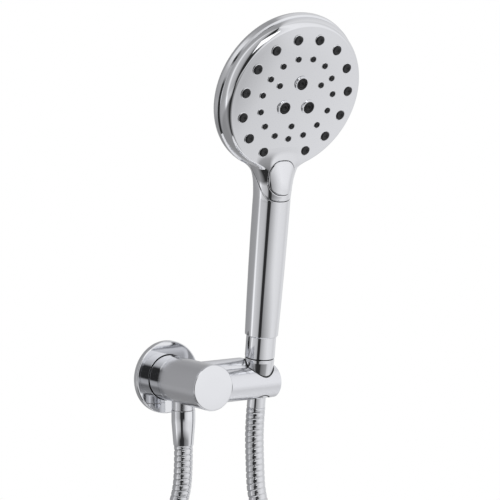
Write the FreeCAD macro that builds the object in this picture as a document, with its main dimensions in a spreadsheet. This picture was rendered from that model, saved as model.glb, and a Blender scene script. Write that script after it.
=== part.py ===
"""Hand shower set: wall outlet with holder arm, three-mode handset and metal hose.

World frame, millimetres: the origin is the middle of the wall flange's back face, on the inlet
axis. +Z is up, +Y points into the wall, -Y into the room, +X to the right seen from the room.

Three local frames keep the profiles simple:
  wall frame     Z runs out of the wall along the inlet axis, Y is up
  handset frame  Z runs up the handle axis from the holder arm, -Y is the handset's front
  head frame     Z is the outward normal of the spray face, Y is up along the face
"""
import FreeCAD
import Part
import Sketcher
import math
import os

from FreeCAD import Placement, Rotation, Vector

doc = FreeCAD.newDocument("hand_shower_set")

# ---------------------------------------------------------------- driving dimensions

SIZES = [
    ("fit_gap", 0.05, "radial clearance of a running or seating fit"),
    ("seam_gap", 0.1, "open joint between two shells"),
    # wall side
    ("thread_radius", 10.48, "G1/2 male inlet thread, major radius"),
    ("thread_length", 14.5, "inlet thread behind the wall plane"),
    ("flange_radius", 27.4, "wall flange"),
    ("flange_depth", 4.9, "wall flange, back face to front face"),
    ("flange_sheet", 1.6, "wall flange plate thickness"),
    ("pipe_radius", 16.94, "bracket body"),
    ("pipe_length", 65.95, "wall plane to the front of the cap"),
    ("collar_front", 16.8, "seam between the rear collar and the body"),
    ("neck_radius", 13.0, "body neck inside the rear collar"),
    ("nipple_radius", 9.5, "inlet nipple spigot"),
    ("nipple_bore", 6.0, "inlet nipple waterway"),
    ("chamber_radius", 7.0, "water chamber in the body"),
    ("cap_spigot_radius", 14.0, "front cap spigot"),
    ("cap_spigot_length", 5.8, "front cap spigot"),
    # holder arm
    ("arm_radius", 12.4, "holder arm"),
    ("arm_length", 61.5, "body axis to the arm's end"),
    ("arm_forward", 53.35, "wall plane to the arm axis"),
    ("arm_drop", 1.5, "arm axis below the inlet axis"),
    ("holder_offset", 48.17, "body axis to the handle axis"),
    ("ridge_radius", 9.0, "raised ridge along the back of the arm"),
    ("ridge_forward", 47.0, "wall plane to the ridge axis"),
    ("ridge_rise", 8.0, "ridge axis above the inlet axis"),
    ("ridge_length", 36.0, "body axis to the middle of the ridge's round end"),
    ("slot_width", 15.0, "hose slot at the back of the holder"),
    ("liner_wall", 0.8, "plastic liner in the holder"),
    # outlet
    ("outlet_forward", 25.5, "wall plane to the outlet axis"),
    ("boss_radius", 8.6, "outlet boss"),
    ("boss_drop", 21.3, "inlet axis to the boss's lower face"),
    ("stub_radius", 7.0, "outlet thread, major radius"),
    ("stub_drop", 31.0, "inlet axis to the thread's lower end"),
    ("nut_radius", 8.9, "hose nut"),
    ("nut_end_radius", 7.5, "hose nut at its lower end"),
    ("nut_drop", 48.5, "inlet axis to the hose nut's lower end"),
    ("hose_radius", 7.0, "metal hose"),
    ("tail_radius", 5.55, "hose tail inside the nut"),
    # handset
    ("handle_lean", 7.24, "handle axis forward of upright, degrees"),
    ("handle_foot", 34.8, "arm axis to the handle's lower end"),
    ("handle_foot_radius", 12.35, "handle at its lower end"),
    ("neck_drop", 77.3, "face centre down to the cover's lower edge, along the handle"),
    ("handle_top_radius", 13.85, "handle at the cover's lower edge"),
    ("handle_swell", 4000.0, "radius of the handle's long curve"),
    ("handle_bore", 10.9, "inside the handle"),
    ("collar_radius", 11.1, "handle end collar"),
    ("cone_radius", 11.0, "conical nut at its upper end"),
    ("cone_end_radius", 9.0, "conical nut at its lower end"),
    ("cone_top", 17.3, "arm axis up to the conical nut's upper face"),
    ("cone_straight", 15.0, "arm axis up to the start of the cone"),
    ("cone_foot", 12.0, "arm axis down to the conical nut's lower face"),
    ("cone_thread", 8.5, "thread inside the conical nut"),
    ("ferrule_radius", 6.85, "hose ferrule below the arm"),
    ("ferrule_foot", 20.5, "arm axis down to the ferrule's lower end"),
    # head
    ("face_height", 214.3, "arm axis up to the face centre, along the handle"),
    ("face_forward", 22.95, "handle axis forward to the face centre"),
    ("face_tilt", 13.26, "spray face against the handle axis, degrees"),
    ("face_dome", 500.0, "sphere radius of the spray face"),
    ("head_radius", 60.0, "head at the rear shell's rim"),
    ("cover_radius", 58.3, "front cover"),
    ("cover_depth", 12.2, "face centre back to the seam"),
    ("rim_depth", 16.0, "face centre back to the widest rim"),
    ("head_depth", 31.0, "face centre back to the rear shell"),
    ("shell_wall", 2.2, "plastic shell thickness"),
    # nozzles
    ("outer_ring", 45.0, "pitch radius of the large nozzles"),
    ("middle_ring", 30.9, "pitch radius of the small nozzles"),
    ("inner_ring", 20.95, "pitch radius of the three inner nozzles"),
    ("massage_ring", 12.2, "pitch radius of the massage nozzles"),
    ("large_nozzle", 3.65, "large nozzle radius"),
    ("small_nozzle", 2.2, "small nozzle radius"),
    ("massage_nozzle", 4.45, "massage nozzle radius"),
    ("massage_rim", 5.75, "chrome ring round a massage nozzle"),
    ("nozzle_stand", 0.7, "nozzle tip in front of the face"),
    ("plate_radius", 51.0, "nozzle mat and spray plates"),
    ("plate_notch", 36.0, "face centre down to the plates' notch"),
    ("housing_radius", 30.0, "water chamber housing"),
    ("tube_radius", 4.2, "water tube in the handle"),
    ("tube_back", 3.4, "water tube axis behind the handle axis"),
    # button
    ("button_rise", 6.0, "cover's lower edge up to the button's lower edge"),
    ("button_length", 24.5, "button's lower edge to its upper edge"),
    ("button_half", 10.2, "half the button's width"),
    ("button_stand", 0.5, "button proud of the cover"),
    # hose coil
    ("coil_radius", 73.0, "middle of the coil's turns"),
    ("coil_side", 24.1, "coil axis right of the inlet axis"),
    ("coil_drop", 197.0, "coil axis below the inlet axis"),
    ("coil_forward", 34.5, "wall plane to the middle of the coil's strands"),
]


class Size:
    """A number that remembers the spreadsheet expression it comes from."""

    def __init__(self, value, text):
        self.value = float(value)
        self.text = text

    def _join(self, other, sign, value):
        other_text = other.text if isinstance(other, Size) else repr(float(other))
        return Size(value, "(%s %s %s)" % (self.text, sign, other_text))

    def __float__(self):
        return self.value

    def __add__(self, other):
        return self._join(other, "+", self.value + float(other))

    def __sub__(self, other):
        return self._join(other, "-", self.value - float(other))

    def __mul__(self, other):
        return self._join(other, "*", self.value * float(other))

    def __truediv__(self, other):
        return self._join(other, "/", self.value / float(other))

    def __neg__(self):
        return Size(-self.value, "(-1 * %s)" % self.text)


class Table:
    """The spreadsheet's named sizes as attributes."""


sheet = doc.addObject("Spreadsheet::Sheet", "Sizes")
d = Table()
for row, (alias, number, note) in enumerate(SIZES, start=1):
    sheet.set("A%d" % row, note)
    sheet.set("B%d" % row, str(number))
    sheet.setAlias("B%d" % row, alias)
    setattr(d, alias, Size(number, "Sizes." + alias))
doc.recompute()
d.handle_top = d.face_height - d.neck_drop
d.button_low = d.handle_top + d.button_rise
d.button_high = d.button_low + d.button_length

# ---------------------------------------------------------------- frames

X_AXIS = Vector(1, 0, 0)
WORLD = Placement()
WALL = Placement(Vector(), Rotation(X_AXIS, 90))
ARM_POINT = Vector(d.holder_offset.value, -d.arm_forward.value, 0)
HANDSET = Placement(ARM_POINT, Rotation(X_AXIS, d.handle_lean.value))
FACE_IN_HANDSET = Placement(Vector(0, -d.face_forward.value, d.face_height.value),
                            Rotation(X_AXIS, 90 + d.face_tilt.value))
HEAD = HANDSET.multiply(FACE_IN_HANDSET)

nodes = {}      # node name -> document object whose shape is exported


def keep(name, thing, placement=None):
    """Names an object as one exported piece and puts it in the world frame."""
    thing.Label = name
    if placement is not None:
        thing.Placement = placement
    nodes[name] = thing
    return thing


def bind(thing, **sizes):
    """Sets properties and ties each one to its spreadsheet expression."""
    for name, size in sizes.items():
        setattr(thing, name, float(size))
        if isinstance(size, Size):
            thing.setExpression(name, size.text)
    return thing


# ---------------------------------------------------------------- sketches

def pin_point(sketch, geo, pos, x, y):
    """Ties a sketch point to its two sizes."""
    for size, along, axis in ((x, "DistanceX", -2), (y, "DistanceY", -1)):
        if not isinstance(size, Size) and size == 0:
            sketch.addConstraint(Sketcher.Constraint("PointOnObject", geo, pos, axis))
            continue
        index = sketch.addConstraint(
            Sketcher.Constraint(along, -1, 1, geo, pos, float(size)))
        if isinstance(size, Size):
            sketch.setExpression("Constraints[%d]" % index, size.text)


def arc_middle(start, end, bend):
    """A third point for the arc between two points: bend is its radius, bulging to the left of
    its way for a positive value, or DOME for an arc centred on the vertical axis."""
    chord = end - start
    if bend == DOME:
        centre = Vector(0, (end.Length ** 2 - start.Length ** 2) / (2 * chord.y), 0)
        way = (start + end) * 0.5 - centre
        return centre + way.normalize() * (start - centre).Length
    radius = float(bend)
    rise = abs(radius) - math.sqrt(radius ** 2 - (chord.Length / 2) ** 2)
    side = Vector(-chord.y, chord.x, 0).normalize() * math.copysign(rise, radius)
    return (start + end) * 0.5 + side


DOME = "dome"


def outline(sketch, points):
    """Closed outline through points. A third value makes the edge that ends at the point an
    arc, as arc_middle describes."""
    ends = []
    for index, point in enumerate(points):
        before = points[index - 1]
        start = Vector(float(before[0]), float(before[1]), 0)
        end = Vector(float(point[0]), float(point[1]), 0)
        if len(point) == 2:
            edge = Part.LineSegment(start, end)
        else:
            edge = Part.Arc(start, arc_middle(start, end, point[2]), end)
        geo = sketch.addGeometry(edge, False)
        first = 1 if sketch.getPoint(geo, 1).isEqual(start, 1e-3) else 2
        ends.append((geo, first, 3 - first))
    for index, point in enumerate(points):
        geo, first, last = ends[index]
        next_geo, next_first, _ = ends[(index + 1) % len(points)]
        sketch.addConstraint(Sketcher.Constraint("Coincident", geo, last, next_geo, next_first))
        pin_point(sketch, geo, last, point[0], point[1])
        if len(point) == 2:
            continue
        if point[2] == DOME:
            sketch.addConstraint(Sketcher.Constraint("PointOnObject", geo, 3, -2))
            continue
        bend = sketch.addConstraint(Sketcher.Constraint("Radius", geo, abs(float(point[2]))))
        if isinstance(point[2], Size):
            size = point[2] if float(point[2]) > 0 else -point[2]
            sketch.setExpression("Constraints[%d]" % bend, size.text)


def new_sketch(body, plane, name, offset=0.0):
    """An empty sketch on one of the body's own origin planes."""
    sketch = body.newObject("Sketcher::SketchObject", name)
    origin_plane = [f for f in body.Origin.OriginFeatures if f.Role == plane][0]
    sketch.AttachmentSupport = [(origin_plane, "")]
    sketch.MapMode = "FlatFace"
    sketch.AttachmentOffset = Placement(Vector(0, 0, float(offset)), Rotation())
    if isinstance(offset, Size):
        sketch.setExpression("AttachmentOffset.Base.z", offset.text)
    return sketch


def new_body(name):
    return doc.addObject("PartDesign::Body", name)


def revolved(name, points, body=None):
    """A body turned about its Z axis; the points are (radius, z)."""
    body = body or new_body(name)
    sketch = new_sketch(body, "XZ_Plane", name + "_profile")
    outline(sketch, points)
    turn = body.newObject("PartDesign::Revolution", name + "_turn")
    turn.Profile = sketch
    turn.ReferenceAxis = (sketch, ["V_Axis"])
    turn.Angle = 360.0
    return body


def tube_points(inner, outer, low, high, chamfer=0.0):
    """Profile of a ring between two radii and two heights, with its outer edges chamfered."""
    if not chamfer:
        return [(inner, low), (outer, low), (outer, high), (inner, high)]
    return [(inner, low), (outer - chamfer, low), (outer, low + chamfer),
            (outer, high - chamfer), (outer - chamfer, high), (inner, high)]


def circle_sketch(body, plane, name, radius, x=0.0, y=0.0, offset=0.0):
    sketch = new_sketch(body, plane, name, offset)
    centre = Vector(float(x), float(y), 0)
    geo = sketch.addGeometry(Part.Circle(centre, Vector(0, 0, 1), float(radius)), False)
    pin_point(sketch, geo, 3, x, y)
    index = sketch.addConstraint(Sketcher.Constraint("Radius", geo, float(radius)))
    if isinstance(radius, Size):
        sketch.setExpression("Constraints[%d]" % index, radius.text)
    return sketch


def pad(body, sketch, length, name, reverse=False):
    feature = body.newObject("PartDesign::Pad", name)
    feature.Profile = sketch
    bind(feature, Length=length)
    feature.Reversed = reverse
    return feature


def pocket(body, sketch, length, name, reverse=False):
    feature = body.newObject("PartDesign::Pocket", name)
    feature.Profile = sketch
    bind(feature, Length=length)
    feature.Reversed = reverse
    return feature


# ---------------------------------------------------------------- part primitives

def cylinder(name, radius, height, placement=WORLD):
    rod = doc.addObject("Part::Cylinder", name)
    bind(rod, Radius=radius, Height=height)
    rod.Placement = placement
    return rod


def box(name, low, high, placement=WORLD):
    """A box between two corners of the given frame."""
    block = doc.addObject("Part::Box", name)
    bind(block, Length=high[0] - low[0], Width=high[1] - low[1], Height=high[2] - low[2])
    corner = Placement(Vector(*[float(value) for value in low]), Rotation())
    block.Placement = placement.multiply(corner)
    return block


def fused(name, things):
    union = doc.addObject("Part::MultiFuse", name)
    union.Shapes = things
    union.Refine = True
    return union


def shared(name, first, second):
    both = doc.addObject("Part::MultiCommon", name)
    both.Shapes = [first, second]
    return both


def cut(name, base, tool):
    rest = doc.addObject("Part::Cut", name)
    rest.Base = base
    rest.Tool = tool
    return rest


def shape_node(name, shape, placement=None):
    """A piece whose shape is built with Part's own functions."""
    feature = doc.addObject("Part::Feature", name)
    feature.Shape = shape
    return keep(name, feature, placement)


def at(x, y, z):
    return Placement(Vector(float(x), float(y), float(z)), Rotation())


# ================================================================ wall side

def wall_flange():
    """Round cover plate: a shallow dish whose rim sits on the wall."""
    rim = 2.9
    bevel = 2.5
    rise = 2.3
    inner = d.pipe_radius + d.fit_gap
    back = d.flange_depth - d.flange_sheet
    keep("wall_flange", revolved("wall_flange", [
        (d.flange_radius - rim, 0), (d.flange_radius, 0), (d.flange_radius, rise),
        (d.flange_radius - bevel, d.flange_depth), (inner, d.flange_depth), (inner, back),
        (d.flange_radius - rim - 0.5, back)]), WALL)


def flange_seal():
    """Rubber ring that grips the collar behind the flange."""
    back = d.flange_depth - d.flange_sheet
    keep("flange_seal", revolved("flange_seal", tube_points(
        d.pipe_radius + 0.01, d.pipe_radius + 3.6, back - 1.7, back - 0.02)), WALL)


SCREW_FORWARD = 10.3


def rear_collar():
    """The rear collar with its set screw's hole from below."""
    sleeve = revolved("rear_collar_sleeve", tube_points(
        d.neck_radius + d.fit_gap, d.pipe_radius, 0.6, d.collar_front, 0.25))
    hole = cylinder("set_screw_bore", 2.02, 12.0,
                    Placement(Vector(0, -10, SCREW_FORWARD), Rotation(X_AXIS, 90)))
    keep("rear_collar", cut("rear_collar", sleeve, hole), WALL)


def set_screw():
    """Hexagon socket set screw that locks the collar on the body's neck."""
    body = new_body("set_screw")
    length = d.pipe_radius - d.neck_radius - 0.45
    pad(body, circle_sketch(body, "XY_Plane", "screw_round", 1.98), length, "screw_shank")
    socket = new_sketch(body, "XY_Plane", "screw_socket", length)
    corners = [(1.15 * math.cos(math.radians(60 * k)), 1.15 * math.sin(math.radians(60 * k)))
               for k in range(6)]
    for k in range(6):
        start = Vector(*corners[k], 0)
        end = Vector(*corners[(k + 1) % 6], 0)
        socket.addGeometry(Part.LineSegment(start, end), False)
    pocket(body, socket, 1.6, "screw_drive")
    place = Placement(Vector(0, -SCREW_FORWARD, -d.neck_radius.value - 0.03),
                      Rotation(X_AXIS, 180))
    keep("set_screw", body, place)


def inlet_nipple():
    """Threaded inlet: the wall thread, a shoulder and a spigot with an O-ring groove."""
    step = 3.05
    keep("inlet_nipple", revolved("inlet_nipple", [
        (d.nipple_bore, -d.thread_length), (d.thread_radius - 1, -d.thread_length),
        (d.thread_radius, -d.thread_length + 1), (d.thread_radius, 0.2),
        (d.neck_radius - 0.5, 0.2), (d.neck_radius - 0.5, step), (d.nipple_radius, step),
        (d.nipple_radius, 8.9), (d.nipple_radius - 1.8, 8.9), (d.nipple_radius - 1.8, 11.1),
        (d.nipple_radius, 11.1), (d.nipple_radius, 15.0), (d.nipple_bore, 15.0)]), WALL)


def nipple_oring():
    ring = doc.addObject("Part::Torus", "nipple_oring")
    bind(ring, Radius1=d.nipple_radius - 0.88, Radius2=0.88)
    keep("nipple_oring", ring, WALL.multiply(at(0, 0, 10)))


def check_valve():
    """Back-flow stop cartridge in the inlet."""
    keep("check_valve", revolved("check_valve", [
        (3.0, -4), (d.nipple_bore - d.fit_gap, -4), (d.nipple_bore - d.fit_gap, 6),
        (4.6, 9), (3.0, 9)]), WALL)


def front_cap():
    """Flat round cap pressed into the body's open front."""
    back = d.pipe_length - 1.9
    keep("front_cap", revolved("front_cap", [
        (0, back - 1), (d.cap_spigot_radius - 2, back - 1),
        (d.cap_spigot_radius - 2, back - d.cap_spigot_length),
        (d.cap_spigot_radius, back - d.cap_spigot_length), (d.cap_spigot_radius, back),
        (d.pipe_radius, back), (d.pipe_radius, d.pipe_length - 0.6),
        (d.pipe_radius - 0.6, d.pipe_length), (0, d.pipe_length)]), WALL)


ARM = Placement(Vector(0, -d.arm_forward.value, -d.arm_drop.value),
                Rotation(Vector(0, 1, 0), 90))


def arm_solid(name):
    """The holder arm without its hole: a round bar and the ridge along its back."""
    edge = 0.9
    bar = revolved(name + "_bar", [
        (0, 0), (d.arm_radius, 0), (d.arm_radius, d.arm_length - edge),
        (d.arm_radius - edge, d.arm_length, edge), (0, d.arm_length)])
    bar.Placement = ARM
    ridge_start = Placement(Vector(0, -d.ridge_forward.value, d.ridge_rise.value),
                            Rotation(Vector(0, 1, 0), 90))
    ridge = cylinder(name + "_ridge", d.ridge_radius, d.ridge_length, ridge_start)
    tip = doc.addObject("Part::Sphere", name + "_ridge_tip")
    bind(tip, Radius=d.ridge_radius)
    tip.Placement = ridge_start.multiply(at(0, 0, d.ridge_length))
    return [bar, ridge, tip]


def cone_tool(name, extra):
    """The holder's conical space: the nut's cone grown by extra all round."""
    slope = (d.cone_radius - d.cone_end_radius) / (d.cone_straight + d.cone_foot)
    low = -24.0
    high = 40.0
    tool = revolved(name, [
        (0, low), (d.cone_end_radius + slope * (d.cone_foot + low) + extra, low),
        (d.cone_radius + extra, d.cone_straight), (d.cone_radius + extra, high), (0, high)])
    tool.Placement = HANDSET
    return tool


def hose_slot(name, wider):
    """The slot at the back that lets the hose into the holder."""
    half = d.slot_width / 2
    return box(name, (-half - wider, 0.0, -30.0), (half + wider, 30.0, 40.0), HANDSET)


def bracket_body():
    """Body casting: neck, water chamber, outlet boss and holder arm in one piece."""
    back = 3.1
    front = d.pipe_length - 1.95
    neck_bore = d.nipple_radius + d.fit_gap
    recess = front - d.cap_spigot_length - 0.1
    recess_radius = d.cap_spigot_radius + d.fit_gap
    shell = revolved("body_pipe", [
        (neck_bore, back), (d.neck_radius, back), (d.neck_radius, d.collar_front + 0.05),
        (d.pipe_radius, d.collar_front + 0.05), (d.pipe_radius, front), (recess_radius, front),
        (recess_radius, recess), (0, recess), (0, 33.0), (d.chamber_radius, 33.0),
        (d.chamber_radius, 15.3), (neck_bore, 15.3)])
    shell.Placement = WALL
    outlet = Vector(0, -d.outlet_forward.value, 0)
    down = Placement(outlet, Rotation(X_AXIS, 180))
    boss = cylinder("outlet_boss", d.boss_radius, d.boss_drop - 12, down.multiply(at(0, 0, 12)))
    arm = arm_solid("arm")
    core = revolved("arm_clear", [
        (0, d.collar_front - 5), (d.pipe_radius - 0.5, d.collar_front - 5),
        (d.pipe_radius - 0.5, 33.0), (0, 33.0)])
    core.Placement = WALL
    recess_tool = revolved("cap_recess", [
        (0, recess), (recess_radius, recess), (recess_radius, front),
        (d.pipe_radius + 0.04, front), (d.pipe_radius + 0.04, front + 30), (0, front + 30)])
    recess_tool.Placement = WALL
    thread = cylinder("outlet_thread", d.stub_radius + 0.03, 20.0, down.multiply(at(0, 0, 11)))
    drain = cylinder("outlet_drain", d.stub_radius - 2.5, 20.0, down)
    solid = fused("body_solid", [shell, boss] + arm)
    tools = fused("body_tools", [recess_tool, thread, drain,
                                 cone_tool("holder_cone", d.liner_wall + 0.03),
                                 hose_slot("holder_slot", 0.0)])
    keep("bracket_body", cut("bracket_body", solid, tools), WORLD)


def holder_liner():
    """Thin plastic liner that the conical nut rests in, open at the slot."""
    wall = cut("liner_wall_ring", cone_tool("liner_outer", d.liner_wall),
               cone_tool("liner_inner", d.fit_gap))
    inside = shared("liner_trim", wall, fused("liner_arm", arm_solid("liner_arm")))
    keep("holder_liner", cut("holder_liner", inside, hose_slot("liner_slot", 0.0)), WORLD)


def outlet_frame():
    """Z runs down the outlet axis from the inlet axis."""
    return Placement(Vector(0, -d.outlet_forward.value, 0), Rotation(X_AXIS, 180))


def outlet_stub():
    keep("outlet_stub", revolved("outlet_stub", tube_points(
        d.stub_radius - 2.5, d.stub_radius, 11.1, d.stub_drop, 0.5)), outlet_frame())


def outlet_nut():
    """Long tapered hose nut: a thread above and a shoulder for the hose tail below."""
    top = d.boss_drop + 0.15
    shoulder = d.stub_drop + 4.2
    bore = d.stub_radius + 0.03
    keep("outlet_nut", revolved("outlet_nut", [
        (bore, top), (d.nut_radius - 0.5, top), (d.nut_radius, top + 0.5),
        (d.nut_radius, top + 9), (d.nut_end_radius, d.nut_drop - 0.4),
        (d.nut_end_radius - 0.4, d.nut_drop), (d.tail_radius + d.fit_gap, d.nut_drop),
        (d.tail_radius + d.fit_gap, shoulder), (bore, shoulder)]), outlet_frame())


def outlet_washer():
    keep("outlet_washer", revolved("outlet_washer", tube_points(
        d.stub_radius - 2.6, d.stub_radius - 0.1, d.stub_drop + 0.05,
        d.stub_drop + 2.0)), outlet_frame())


def outlet_tail():
    """Flanged tail that the nut pulls against its washer."""
    flange = d.stub_drop + 2.05
    keep("outlet_tail", revolved("outlet_tail", [
        (3.6, flange), (d.stub_radius - 0.1, flange), (d.stub_radius - 0.1, flange + 2.05),
        (d.tail_radius, flange + 2.05), (d.tail_radius, d.nut_drop), (3.6, d.nut_drop)]),
        outlet_frame())


# ================================================================ hose end and conical nut

def cone_nut():
    """Conical nut: seats in the holder, screws on the handle and turns on the hose tail."""
    thread = d.cone_thread + 0.03
    bore = d.stub_radius + 0.05
    foot_bore = d.tail_radius + 0.07
    keep("cone_nut", revolved("cone_nut", [
        (foot_bore, -d.cone_foot), (d.cone_end_radius - 0.6, -d.cone_foot),
        (d.cone_end_radius, -d.cone_foot + 0.6), (d.cone_radius, d.cone_straight),
        (d.cone_radius, d.cone_top - 0.4), (d.cone_radius - 0.4, d.cone_top),
        (thread, d.cone_top), (thread, 1.0), (bore, 1.0), (bore, -3.1), (foot_bore, -3.1)]),
        HANDSET)


def cone_gasket():
    """Black ring between the conical nut and the handle collar."""
    keep("cone_gasket", revolved("cone_gasket", tube_points(
        d.cone_thread + 0.1, d.cone_radius - 0.55, d.cone_top + 0.02, d.cone_top + 0.72)),
        HANDSET)


def swivel_washer():
    keep("swivel_washer", revolved("swivel_washer", tube_points(
        4.2, d.stub_radius - 0.1, -0.9, 0.95)), HANDSET)


def hose_tail():
    """Flanged tail inside the conical nut, which turns round it."""
    keep("hose_tail", revolved("hose_tail", [
        (3.6, -d.ferrule_foot), (d.tail_radius, -d.ferrule_foot), (d.tail_radius, -3.05),
        (d.stub_radius - 0.02, -3.05), (d.stub_radius - 0.02, -1.0), (3.6, -1.0)]), HANDSET)


def hose_ferrule():
    """Smooth sleeve crimped over the end of the hose."""
    keep("hose_ferrule", revolved("hose_ferrule", tube_points(
        d.tail_radius + 0.02, d.ferrule_radius, -d.ferrule_foot, -d.cone_foot - 0.25, 0.3)),
        HANDSET)


# ================================================================ handle

def handle_collar():
    """Chromed collar between the conical nut and the handle."""
    low = d.cone_top + 0.8
    keep("handle_collar", revolved("handle_collar", tube_points(
        d.collar_radius - 1.05, d.collar_radius, low, d.handle_foot - 0.1, 0.35)), HANDSET)


def handle_insert():
    """Threaded insert in the handle's foot, which carries the collar and the conical nut."""
    inside = d.collar_radius - 1.1
    body = revolved("handle_insert", [
        (5.0, 1.1), (d.cone_thread - 0.6, 1.1), (d.cone_thread, 1.7),
        (d.cone_thread, d.cone_top + 0.75), (inside, d.cone_top + 0.85),
        (inside, d.handle_foot - 0.05), (d.handle_bore - d.fit_gap, d.handle_foot + 0.05),
        (d.handle_bore - d.fit_gap, d.handle_foot + 22), (0, d.handle_foot + 22),
        (0, d.handle_foot + 14), (5.0, d.handle_foot + 14)])
    port = circle_sketch(body, "XY_Plane", "tube_port", d.tube_radius + 0.04, 0, d.tube_back,
                         d.handle_foot + 22)
    pocket(body, port, 8.0, "tube_port_hole")
    keep("handle_insert", body, HANDSET)


def flow_regulator():
    """Flow limiting disc with its strainer, in the handle insert."""
    keep("flow_regulator", revolved("flow_regulator", [
        (1.6, 24), (4.95, 24), (4.95, 28), (4.2, 31), (1.6, 31)]), HANDSET)


def water_tube():
    """Pipe from the handle insert up to the water chamber."""
    low = d.handle_foot + 14.5
    high = d.handle_top + 47.0
    body = revolved("water_tube", tube_points(d.tube_radius - 1.0, d.tube_radius, low, high))
    keep("water_tube", body, HANDSET.multiply(at(0, d.tube_back, 0)))


# ---------------------------------------------------------------- shells

# The neck is lofted through ellipses: (height, half width, half depth, shift towards the back).
NECK_SECTIONS = [
    (d.handle_top - 1, d.handle_top_radius - 0.06, d.handle_top_radius - 0.07, 0.0),
    (d.handle_top + 13, d.handle_top_radius + 0.45, d.handle_top_radius - 0.2, 0.15),
    (d.handle_top + 23, d.handle_top_radius + 3.6, d.handle_top_radius - 0.65, 0.4),
    (d.handle_top + 32, d.handle_top_radius + 11.0, d.handle_top_radius - 1.8, 1.0),
    (d.handle_top + 41, d.handle_top_radius + 21.0, d.handle_top_radius - 3.4, 1.5),
]


def neck_loft(name, shrink):
    """The flare from the round handle into the head, its sections made smaller by shrink."""
    rings = []
    for index, (height, half_width, half_depth, shift) in enumerate(NECK_SECTIONS):
        ring = doc.addObject("Part::Ellipse", "%s_section_%d" % (name, index))
        bind(ring, MajorRadius=half_width - shrink, MinorRadius=half_depth - shrink)
        ring.Placement = at(0, shift, height)
        rings.append(ring)
    loft = doc.addObject("Part::Loft", name)
    loft.Sections = rings
    loft.Solid = True
    loft.Ruled = False
    return loft


def handle_bar(name, shrink):
    """The handle's long, slightly swelling round bar."""
    if shrink:
        low = d.handle_foot - 1
        return revolved(name, [(0, low), (d.handle_bore, low),
                               (d.handle_bore, d.handle_top + 6), (0, d.handle_top + 6)])
    return revolved(name, [
        (0, d.handle_foot), (d.handle_foot_radius - 0.5, d.handle_foot),
        (d.handle_foot_radius, d.handle_foot + 0.5),
        (d.handle_top_radius, d.handle_top, -d.handle_swell), (0, d.handle_top)])


def dome_drop(radius):
    """How far the domed face falls away at a radius."""
    dome = d.face_dome
    drop = dome.value - math.sqrt(dome.value ** 2 - float(radius) ** 2)
    return Size(drop, "(%s - sqrt(%s ^ 2 - (%s) ^ 2))" % (dome.text, dome.text, radius.text))


BACK_RISE = 12.0


def head_outer():
    """Outside of the head: domed face, straight side, wider rim and domed back."""
    edge = d.cover_radius - 2.1
    form = revolved("head_outer", [
        (0, 0), (edge, -dome_drop(edge), DOME),
        (d.cover_radius - 0.1, -dome_drop(edge) - 3.6, 4.0),
        (d.cover_radius, -d.cover_depth - 0.1),
        (d.head_radius - 0.5, -d.cover_depth - 0.9), (d.head_radius, -d.rim_depth),
        (d.head_radius - 0.8, -d.head_depth + BACK_RISE, 6.0),
        (0, -d.head_depth, DOME)])
    form.Placement = FACE_IN_HANDSET
    return form


def head_inner():
    """Inside of the head, one wall smaller."""
    wall = d.shell_wall
    edge = d.cover_radius - 4.3
    side = d.cover_radius - wall
    form = revolved("head_inner", [
        (0, -wall), (edge, -dome_drop(edge) - wall, DOME),
        (side, -dome_drop(edge) - wall - 2.7), (side, -d.head_depth + BACK_RISE + 0.8),
        (0, -d.head_depth + wall, DOME)])
    form.Placement = FACE_IN_HANDSET
    return form


def parting_block(name, shift):
    """Everything in front of the seam: a side view outline swept across the handset. The seam
    wraps round the neck, climbs its sides and follows the head's side wall."""
    tilt = math.radians(d.face_tilt.value)
    low = d.handle_top.value + 0.5

    def on_seam(height):
        """Forward distance of the head's seam plane at a height on the handle."""
        below = d.face_height.value - height
        return (d.face_forward.value - below * math.tan(tilt)
                - (d.cover_depth.value) / math.cos(tilt))

    top = d.face_height.value + d.head_radius.value + 20
    forward_points = [
        (45, low - shift), (10.6, low - shift), (7.0 - shift, low + 5.0),
        (3.4 - shift, low + 12.5), (on_seam(low + 25) - shift, low + 25),
        (on_seam(top) - shift, top), (45 + 30, top)]
    corners = [Vector(-80, -forward, height) for forward, height in forward_points]
    face = Part.Face(Part.makePolygon(corners + corners[:1]))
    block = doc.addObject("Part::Feature", name)
    block.Shape = face.extrude(Vector(160, 0, 0))
    return block


def button_outline(grow):
    """Rounded outline of the button, drawn flat and swept from front to back."""
    half = d.button_half.value + grow
    low = d.button_low.value - grow
    high = d.button_high.value + grow
    corner = 5.5 + grow
    crown = 2.2
    sag = 2.6
    shoulder = high - crown
    foot = low + sag
    points = [
        Vector(half, 0, foot + corner), Vector(half, 0, shoulder - corner),
        Vector(half - corner, 0, shoulder), Vector(-half + corner, 0, shoulder),
        Vector(-half, 0, shoulder - corner), Vector(-half, 0, foot + corner),
        Vector(-half + corner, 0, foot), Vector(half - corner, 0, foot)]
    bend = corner * (1 - math.sqrt(0.5))
    edges = [
        Part.makeLine(points[0], points[1]),
        Part.Arc(points[1], Vector(half - bend, 0, shoulder - bend), points[2]).toShape(),
        Part.Arc(points[2], Vector(0, 0, high), points[3]).toShape(),
        Part.Arc(points[3], Vector(-half + bend, 0, shoulder - bend), points[4]).toShape(),
        Part.makeLine(points[4], points[5]),
        Part.Arc(points[5], Vector(-half + bend, 0, foot + bend), points[6]).toShape(),
        Part.Arc(points[6], Vector(0, 0, low), points[7]).toShape(),
        Part.Arc(points[7], Vector(half - bend, 0, foot + bend), points[0]).toShape()]
    return Part.Face(Part.Wire(edges))


def button_prism(grow, front, back):
    """The button's outline as a block between two distances in front of the handle axis."""
    flat = button_outline(grow)
    flat.translate(Vector(0, -front, 0))
    return flat.extrude(Vector(0, front - back, 0))


def ring_angles(count, pitch, start):
    return [start + pitch * k for k in range(count)]


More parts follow.
